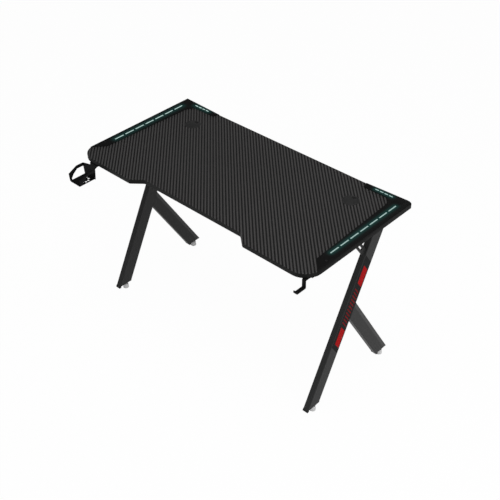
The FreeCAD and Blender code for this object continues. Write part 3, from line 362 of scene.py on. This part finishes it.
# %% Trim plastic and its glow
TAPE_HALF = 0.005
SIDE_ROW_ENDS, REAR_ROW_ENDS = (-0.100, 0.273), (0.447, 0.522)
LEFT_GLOW, RIGHT_GLOW = 0.0155, 0.011
GLOW_STARTS, GLOW_FULL = 0.005, 0.002  # depths under the trim's top
tape_low, tape_high = extent("right_led_tape")
side_row, rear_row = tape_high.x - TAPE_HALF, tape_high.y - TAPE_HALF
trim_top = extent("right_led_trim")[1].z
trim_black = Finish("trim_plastic", Specular_IOR_Level=0.03)
spot, (x, y, z) = trim_black.place()
aside = x.math("ABSOLUTE")
grain = trim_black.noise(spot, 1500.0, detail=3.0)
smudge = trim_black.noise(spot, 7.0, detail=4.0)


def far_from_row(along, ends, across):
    """The distance of a point from a row, given where it lies along and across it."""
    low, high = ends
    past = (along - high).math("MAXIMUM", low - along).math("MAXIMUM", 0.0)
    return (past * past + across * across).math("SQRT")


far_side = far_from_row(y, SIDE_ROW_ENDS, aside - side_row)
far_rear = far_from_row(aside, REAR_ROW_ENDS, y - rear_row)
on_right = x.ramp(-0.3, 0.3)
reach = LEFT_GLOW + on_right * (RIGHT_GLOW - LEFT_GLOW)
far = far_side.math("MINIMUM", far_rear) / reach
near = (far * far * -1.0).math("EXPONENT")
glow = near * z.ramp(trim_top - GLOW_STARTS, trim_top - GLOW_FULL) * (0.75 + 0.25 * on_right)
trim_black.set(Base_Color=trim_black.blend(smudge, shade(16), shade(22)),
               Roughness=0.42 + smudge * 0.14, Normal=trim_black.relief(grain, 0.00008))
trim_black.set(Emission_Color=trim_black.blend(glow, (0, 0, 0, 1), (0.004, 0.040, 0.035, 1)),
               Emission_Strength=1.0)
print("rows at", round(side_row, 3), "and", round(rear_row, 3), "m")

# %% Diffusers and tapes
TAPE_THICK, CHIP_EDGE = 0.001, 0.0001
milky = Finish("light_diffuser", Base_Color=(0.10, 0.16, 0.15, 1.0), Roughness=0.35,
               Emission_Strength=1.0)
spot, (x, _, _) = milky.place()
flicker = milky.noise(spot, 120.0)
bright = milky.blend(x.ramp(-0.3, 0.3), (0.48, 0.64, 0.60, 1), (0.31, 0.42, 0.40, 1))
milky.set(Emission_Color=milky.blend(flicker * 0.36, bright, (0.0, 0.0, 0.0, 1)))
tape_white = Finish("light_tape", Roughness=0.5)
_, (_, _, z) = tape_white.place()
tape_top = tape_low.z + TAPE_THICK
chip = z.ramp(tape_top - CHIP_EDGE, tape_top + CHIP_EDGE)
tape_white.set(Base_Color=tape_white.blend(chip, shade(215), shade(236, (1.0, 0.93, 0.62))))
for side in SIDES:
    soften(f"{side}_led_trim", trim_black, width=0.0007)
    soften(f"{side}_led_diffuser", milky, width=0.0005)
    coat(f"{side}_led_tape", tape_white)
print("trims lit")

# %% [markdown]
# ## Powder-coated steel
#
# Powder coat is paint baked from dust: satin, with a faint orange-peel skin. One noise makes the skin
# and a larger one makes the coat a little uneven, as it is where the tube was handled. A picture of
# paint would repeat along the tubes, and noise doesn't. The leg frames are tube. Along the struts'
# long edges the coat is painted a little lighter: a painted highlight where their rounded edges catch
# the light. The hook and the cup holder are bent and folded sheet with a darker, flatter coat.

# %% Frame steel
def powder_coat(name, level, rough=0.46, gloss=0.12):
    """A satin black coat with an orange-peel skin."""
    paint = Finish(name, Specular_IOR_Level=gloss)
    spot, _ = paint.place()
    peel = paint.noise(spot, 420.0, detail=2.0)
    wear = paint.noise(spot, 9.0, detail=5.0)
    paint.set(Base_Color=paint.blend(wear, shade(level * 0.9), shade(level * 1.1)),
              Roughness=rough + wear * 0.1, Normal=paint.relief(peel, 0.00005))
    return paint


frame_steel = powder_coat("frame_steel", level=43)
for side in SIDES:
    for name in ("front_leg", "top_rail"):
        coat(f"{side}_{name}", frame_steel)
    soften(f"{side}_knee_brace", frame_steel, width=0.0006)
for name in ("front_crossbar", "rear_crossbar"):
    coat(name, frame_steel)
print("legs, rails and crossbars coated")

# %% Strut steel
# bands along the strut's rear and front edges where the coat is painted lighter, as a painted
# highlight
REAR_EDGE, FRONT_EDGE = (0.44, 0.56), (-1.0, -0.97)  # in halves of the strut's span


def side_view(node):
    """A leaning tube from the side: its lean, then the height, middle and half span of its foot."""
    upright = [face for face in solids[node].data.polygons if abs(face.normal.x) < 0.01]
    longest = max(upright, key=lambda face: face.area)
    lean = -longest.normal.z / longest.normal.y
    corners = [corner.co for corner in solids[node].data.vertices]
    height = min(corner.z for corner in corners)
    cut = [corner.y for corner in corners if corner.z < height + WELD_GAP]
    return lean, height, (max(cut) + min(cut)) / 2, (max(cut) - min(cut)) / 2


strut_lean, foot_height, strut_foot, strut_half = side_view("right_rear_strut")
strut_steel = powder_coat("strut_steel", level=43)
_, (_, y, z) = strut_steel.place()
across = (y - (z - foot_height) * strut_lean - strut_foot) / strut_half
# painted highlight: the coat is lighter along both long edges, where the rounded tube would catch the
# light
painted_edge_highlight = across.ramp(*REAR_EDGE) + (1.0 - across.ramp(*FRONT_EDGE))
painted = Sum(strut_steel, strut_steel.shader.inputs["Base Color"].links[0].from_socket)
strut_steel.set(Base_Color=strut_steel.blend(painted_edge_highlight, painted, shade(65)))
for side in SIDES:
    coat(f"{side}_rear_strut", strut_steel)
print("struts lean", round(strut_lean, 3), "m for each metre of height")

# %% Hook and cup holder
dark_steel = powder_coat("accessory_steel", level=14, rough=0.5, gloss=0.06)
for name in ("cup_holder", "headset_hook"):
    soften(name, dark_steel, width=0.0005)
print("hook and cup holder coated")

# %% [markdown]
# ## Weld beads
#
# The leg frames are welded: the strut to the leg, the leg to the rail, and the brace to both. A bead
# could be sculpted by hand, but a slim rod laid along the joint follows it wherever it runs. The
# rod's rings swell and shrink in turn, which gives the ripple that a moving torch leaves, and the
# frame's paint covers it.

# %% Beads along the joints
BRACE_ON_LEG, BRACE_ON_RAIL = (0.614, 0.640), (0.0415, 0.0720)
BEAD_INSET, BRACE_BEAD, BRACE_GAP = 0.002, 0.0016, 0.0003
END_SHARE, RIPPLE_MEAN, RIPPLE_SWING = 0.55, 0.88, 0.12
leg_lean, _, leg_foot, leg_half = side_view("right_front_leg")
leg_inside, leg_outside = (corner.x for corner in extent("right_front_leg"))
brace_inside, brace_outside = (corner.x for corner in extent("right_knee_brace"))
rail_low, rail_high = extent("right_top_rail")


def lay_bead(shape, start, end, thick=0.0022, ripple=0.00285):
    """Add a rippled rod between two points."""
    start, end = Vector(start), Vector(end)
    long = (end - start).length
    rings = max(4, round(long / ripple) * 2)
    rod = bmesh.new()
    bmesh.ops.create_cone(rod, cap_ends=True, segments=10, radius1=thick, radius2=thick, depth=long)
    sides = [edge for edge in rod.edges if abs(edge.verts[0].co.z - edge.verts[1].co.z) > long / 2]
    bmesh.ops.subdivide_edges(rod, edges=sides, cuts=rings - 1, use_grid_fill=True)
    for corner in rod.verts:
        step = (corner.co.z / long + 0.5) * rings
        at_end = min(step, rings - step) < 0.5
        swell = END_SHARE if at_end else RIPPLE_MEAN + RIPPLE_SWING * math.cos(math.pi * step)
        corner.co.x *= swell
        corner.co.y *= swell
    turn = (end - start).to_track_quat("Z", "Y").to_matrix().to_4x4()
    bmesh.ops.transform(rod, matrix=Matrix.Translation((start + end) / 2) @ turn, verts=rod.verts)
    carrier = bpy.data.meshes.new("bead")
    rod.to_mesh(carrier)
    rod.free()
    shape.from_mesh(carrier)
    bpy.data.meshes.remove(carrier)


def leg_y(height, share):
    """The leg's front face (-1), middle (0) or rear face (+1) at a height."""
    return leg_foot + (height - foot_height) * leg_lean + share * leg_half


def strut_height(share):
    """The height at which the strut's lower (-1) or upper (+1) face meets the leg."""
    apart = strut_foot + share * strut_half - leg_y(foot_height, 1)
    return foot_height + apart / (leg_lean - strut_lean)


strut_low, strut_high = strut_height(-1), strut_height(1)
for side in SIDES:
    beads = bmesh.new()
    inner, outer = leg_inside + BEAD_INSET, leg_outside - BEAD_INSET
    knee = [(x, leg_y(z, 1), z) for x, z in
            ((inner, strut_low), (outer, strut_low), (outer, strut_high), (inner, strut_high))]
    head = [(x, leg_y(rail_low.z, share), rail_low.z) for x, share in
            ((leg_inside, -1), (leg_outside, -1), (leg_outside, 1), (leg_inside, 1))]
    for ring in (knee, head):
        for start, end in zip(ring, ring[1:] + ring[:1]):
            lay_bead(beads, start, end)
    for x in (brace_inside - BRACE_GAP, brace_outside + BRACE_GAP):
        on_leg = [(x, leg_y(z, -1), z) for z in BRACE_ON_LEG]
        on_rail = [(x, y, rail_low.z) for y in BRACE_ON_RAIL]
        lay_bead(beads, *on_leg, thick=BRACE_BEAD)
        lay_bead(beads, *on_rail, thick=BRACE_BEAD)
    if side == "left":
        bmesh.ops.scale(beads, vec=(-1, 1, 1), verts=beads.verts)
    bmesh.ops.recalc_face_normals(beads, faces=beads.faces)
    piece = place_piece(f"{side}_weld_beads", beads, frame_steel)
    print(piece.name, len(piece.data.polygons), "faces, strut joint from", round(strut_low, 3),
          "to", round(strut_high, 3))

# %% [markdown]
# ## The bands on the front legs
#
# Each front leg carries a thin printed film on its outer face: black, with a slanted red block near
# each end and a row of thin slanted ticks between. The sheet is a flat grid that a matrix lays
# on the leaning tube, and it is then drawn out to 0.4 mm, half of it sunk in the paint. Its print is
# worked out in coordinates that run up the leg and across it, so blocks and ticks follow the lean.

# %% Printed film
BAND_SLANT = 0.85
UPPER_BLOCK, LOWER_BLOCK = (0.497, 0.562), (0.268, 0.334)
TICKS, TICK_PITCH, TICK_SHARE = (0.347, 0.484), 0.0125, 0.42
BLOCK_WIDTH, TICK_WIDTH = (-0.0150, 0.0245), (-0.0200, 0.0200)
band_print = Finish("leg_band_print", Specular_IOR_Level=0.03, Roughness=0.5)
spot, (_, y, z) = band_print.place()
across = y - (z - foot_height) * leg_lean - leg_foot
slanted = z + across * BAND_SLANT


def between(value, low, high, edge=0.0008):
    """1 between two limits and 0 outside them, with soft edges."""
    return value.ramp(low, low + edge) * (1.0 - value.ramp(high - edge, high))


scuffs = band_print.noise(spot, 60.0, detail=4.0)
blocks = between(slanted, *UPPER_BLOCK) + between(slanted, *LOWER_BLOCK)
beat = ((slanted - TICKS[0]) / TICK_PITCH).math("FRACT")
ticks = beat.math("LESS_THAN", TICK_SHARE) * between(slanted, *TICKS)
printed = band_print.blend(scuffs, shade(20), shade(28))
printed = band_print.blend(blocks * between(across, *BLOCK_WIDTH), printed, (0.36, 0.0015, 0.003, 1))
printed = band_print.blend(ticks * between(across, *TICK_WIDTH), printed, (0.15, 0.004, 0.005, 1))
band_print.set(Base_Color=printed)


def leg_band(side, low, high, half_wide, thick):
    """A thin sheet on a front leg's outer face, with slanted ends."""
    middle, half_long = (low + high) / 2, (high - low) / 2
    shape = bmesh.new()
    bmesh.ops.create_grid(shape, x_segments=2, y_segments=12, size=1.0)
    lay = Matrix(((0, 0, 1, leg_outside - thick / 2),
                  (half_wide * (1 - BAND_SLANT * leg_lean), half_long * leg_lean, 0, leg_y(middle, 0)),
                  (-half_wide * BAND_SLANT, half_long, 0, middle),
                  (0, 0, 0, 1)))
    bmesh.ops.transform(shape, matrix=lay, verts=shape.verts)
    sheet = bmesh.ops.extrude_face_region(shape, geom=shape.faces[:])
    drawn = [item for item in sheet["geom"] if isinstance(item, bmesh.types.BMVert)]
    bmesh.ops.translate(shape, vec=(thick, 0, 0), verts=drawn)
    if side == "left":
        bmesh.ops.scale(shape, vec=(-1, 1, 1), verts=shape.verts)
    bmesh.ops.recalc_face_normals(shape, faces=shape.faces)
    return place_piece(f"{side}_leg_band", shape, band_print)


for side in SIDES:
    band = leg_band(side, low=0.250, high=0.592, half_wide=0.030, thick=0.0004)
    print(band.name, "runs", round(band.dimensions.z * 1000), "mm up the leg")

# %% [markdown]
# ## Moulded plastic
#
# Feet, plugs, grommets and the controller are moulded: an even colour with a fine spark-eroded grain.
# The grain is too fine to model, so it is a bump in the finish. The feet are a light grey, darker in
# patches within a few millimetres of the floor.

# %% Small plastics
DARK_FOOT_HEIGHT = 0.007


def moulded(name, level, rough, tint=(1.0, 1.0, 1.0), grain_depth=0.00005):
    """Moulded plastic with a fine grain and a little unevenness."""
    plastic = Finish(name, Specular_IOR_Level=0.25)
    spot, parts = plastic.place()
    grain = plastic.noise(spot, 1300.0, detail=3.0)
    cloud = plastic.noise(spot, 30.0, detail=3.0)
    plastic.set(Base_Color=plastic.blend(cloud, shade(level * 0.92, tint), shade(level * 1.06, tint)),
                Roughness=rough + cloud * 0.1, Normal=plastic.relief(grain, grain_depth))
    return plastic, parts, cloud


foot_grey, (_, _, z), cloud = moulded("foot_plastic", level=212, rough=0.5)
plain_grey = Sum(foot_grey, foot_grey.shader.inputs["Base Color"].links[0].from_socket)
# the feet turn darker in patches towards the floor, within the lowest few millimetres
darker_near_floor = (1.0 - z.ramp(0.0, DARK_FOOT_HEIGHT)) * cloud * 0.5
foot_grey.set(Base_Color=foot_grey.blend(darker_near_floor, plain_grey, shade(150)))
plug_black, _, _ = moulded("plug_plastic", level=24, rough=0.55)
grommet_black, _, _ = moulded("grommet_plastic", level=31, rough=0.55)
case_black, _, _ = moulded("controller_plastic", level=30, rough=0.5)
inlet_black, _, _ = moulded("inlet_plastic", level=20, rough=0.2, grain_depth=0.00001)
resist_green, _, _ = moulded("circuit_board", level=120, rough=0.35, tint=(0.12, 1.0, 0.4),
                             grain_depth=0.00001)
for side in SIDES:
    for row in ("front", "rear"):
        coat(f"{side}_{row}_foot", foot_grey)
        coat(f"{side}_{row}_plug", plug_black)
    soften(f"{side}_grommet_liner", grommet_black, width=0.0004)
    soften(f"{side}_grommet_lid", grommet_black, width=0.0004, body=f"{side}_grommet_lid")
for name in ("controller_case", "controller_cover"):
    soften(name, case_black, width=0.0006)
soften("mode_button", case_black, width=0.0008, body="mode_button")
coat("controller_circuit", resist_green)
coat("power_inlet", inlet_black)
print("feet, plugs, grommets and controller coated")

# %% [markdown]
# ## Caps
#
# The rails under the top end in flat plastic caps, and each trim's nose carries a round screw cap.
# They could be drawn corner by corner, but a few operators are quicker. A rail cap is a bevelled block
# with a shallow panel pressed into its face. A nose cap is a low cone whose top is inset and pressed
# in, so that a rim stays around it.

# %% Rail caps and nose caps
CAP_GAP, CAP_THICK, CAP_EDGE = 0.0004, 0.002, 0.0005
PANEL_BORDER, PANEL_DEEP = 0.004, 0.0006
NOSE_LINE, NOSE_ROW = 0.584, -0.145
NOSE_FOOT, NOSE_TOP, NOSE_THICK = 0.0048, 0.0044, 0.0006
DISH_RIM, DISH_DEEP = 0.0008, 0.0002
cap_black, _, _ = moulded("cap_plastic", level=8, rough=0.6)
rail_middle, rail_size = (rail_low + rail_high) / 2, rail_high - rail_low
cap_size = (rail_size.x - CAP_GAP, CAP_THICK, rail_size.z - CAP_GAP)
for side, sign in (("left", -1), ("right", 1)):
    caps = bmesh.new()
    for end, outward in ((rail_low.y, -1), (rail_high.y, 1)):
        middle = (sign * rail_middle.x, end + outward * CAP_THICK / 2, rail_middle.z)
        place = Matrix.Translation(middle) @ Matrix.Diagonal((*cap_size, 1))
        block = bmesh.ops.create_cube(caps, size=1.0, matrix=place)["verts"]
        face = max({item for corner in block for item in corner.link_faces},
                   key=lambda item: item.calc_center_median().y * outward)
        bmesh.ops.inset_region(caps, faces=[face], thickness=PANEL_BORDER)
        bmesh.ops.translate(caps, vec=(0, -outward * PANEL_DEEP, 0), verts=face.verts)
    sharp = [edge for edge in caps.edges if edge.is_manifold and edge.calc_face_angle() > 1.0]
    bmesh.ops.bevel(caps, geom=sharp, offset=CAP_EDGE, segments=2, profile=0.5, affect="EDGES",
                    clamp_overlap=True, material=-1)
    place_piece(f"{side}_rail_caps", caps, cap_black)
    nose = bmesh.new()
    place = Matrix.Translation((sign * NOSE_LINE, NOSE_ROW, trim_top))
    bmesh.ops.create_cone(nose, cap_ends=True, segments=28, radius1=NOSE_FOOT, radius2=NOSE_TOP,
                          depth=NOSE_THICK, matrix=place)
    top = max(nose.faces, key=lambda item: item.calc_center_median().z)
    bmesh.ops.inset_region(nose, faces=[top], thickness=DISH_RIM)
    bmesh.ops.translate(nose, vec=(0, 0, -DISH_DEEP), verts=top.verts)
    place_piece(f"{side}_nose_cap", nose, cap_black)
print("caps on 4 rail ends and 2 noses")

# %% [markdown]
# ## Fasteners
#
# Screws and bolts are steel under black oxide, with a six-lobed socket in each head. The solids have
# plain heads, so a copy gets the sockets: the head's end face is inset, the new ring is drawn into
# lobes, and the face is pushed in. A socket that is really sunk keeps its shadow from every side.

# %% Sockets in the heads
HEAD_SLACK = 0.0003
LOBES, LOBE_SWING = 6, 0.16
oxide = Finish("fastener_steel", Metallic=0.85, Specular_IOR_Level=0.5)
spot, _ = oxide.place()
tarnish = oxide.noise(spot, 160.0, detail=4.0)
oxide.set(Base_Color=oxide.blend(tarnish, shade(38), shade(66)), Roughness=0.34 + tarnish * 0.2)


def sink_sockets(node, facings, round_share=0.48, deep=0.0014):
    """A copy of a set of screws with a lobed socket in each head that faces one of the directions."""
    shape = bmesh.new()
    shape.from_mesh(solids[node].data)
    bmesh.ops.remove_doubles(shape, verts=shape.verts, dist=WELD_GAP)
    bmesh.ops.dissolve_limit(shape, angle_limit=FLAT_ANGLE, verts=shape.verts, edges=shape.edges)
    heads = []
    for axis in facings:
        reach = max(corner.co.dot(axis) for corner in shape.verts) - HEAD_SLACK
        heads += [(face, axis) for face in shape.faces
                  if face.normal.dot(axis) > 0.999 and face.calc_center_median().dot(axis) > reach]
    for head, axis in heads:
        middle = head.calc_center_median()
        radius = max((corner.co - middle).length for corner in head.verts)
        bmesh.ops.inset_region(shape, faces=[head], thickness=radius * (1 - round_share),
                               use_even_offset=True)
        side = axis.orthogonal().normalized()
        for corner in head.verts:
            spoke = corner.co - middle
            turn = math.atan2(spoke.dot(axis.cross(side)), spoke.dot(side))
            corner.co = middle + spoke * (1.0 + LOBE_SWING * math.cos(LOBES * turn))
        sunk = bmesh.ops.extrude_discrete_faces(shape, faces=[head])["faces"]
        bmesh.ops.translate(shape, vec=-sunk[0].normal * deep, verts=sunk[0].verts)
    piece = place_piece(node + "_driven", shape, oxide, bend=30.0)
    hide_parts(node)
    return len(heads)


DOWN = [Vector((0, 0, -1))]
OUT = [Vector((1, 0, 0)), Vector((-1, 0, 0))]
HEADS = {"board_screws": DOWN, "crossbar_bolts": OUT, "trim_screws": DOWN,
         "cup_holder_screws": DOWN, "hook_screws": DOWN, "controller_screws": DOWN}
for node, facings in HEADS.items():
    print(node, sink_sockets(node, facings), "sockets")
coat("crossbar_nuts", oxide)
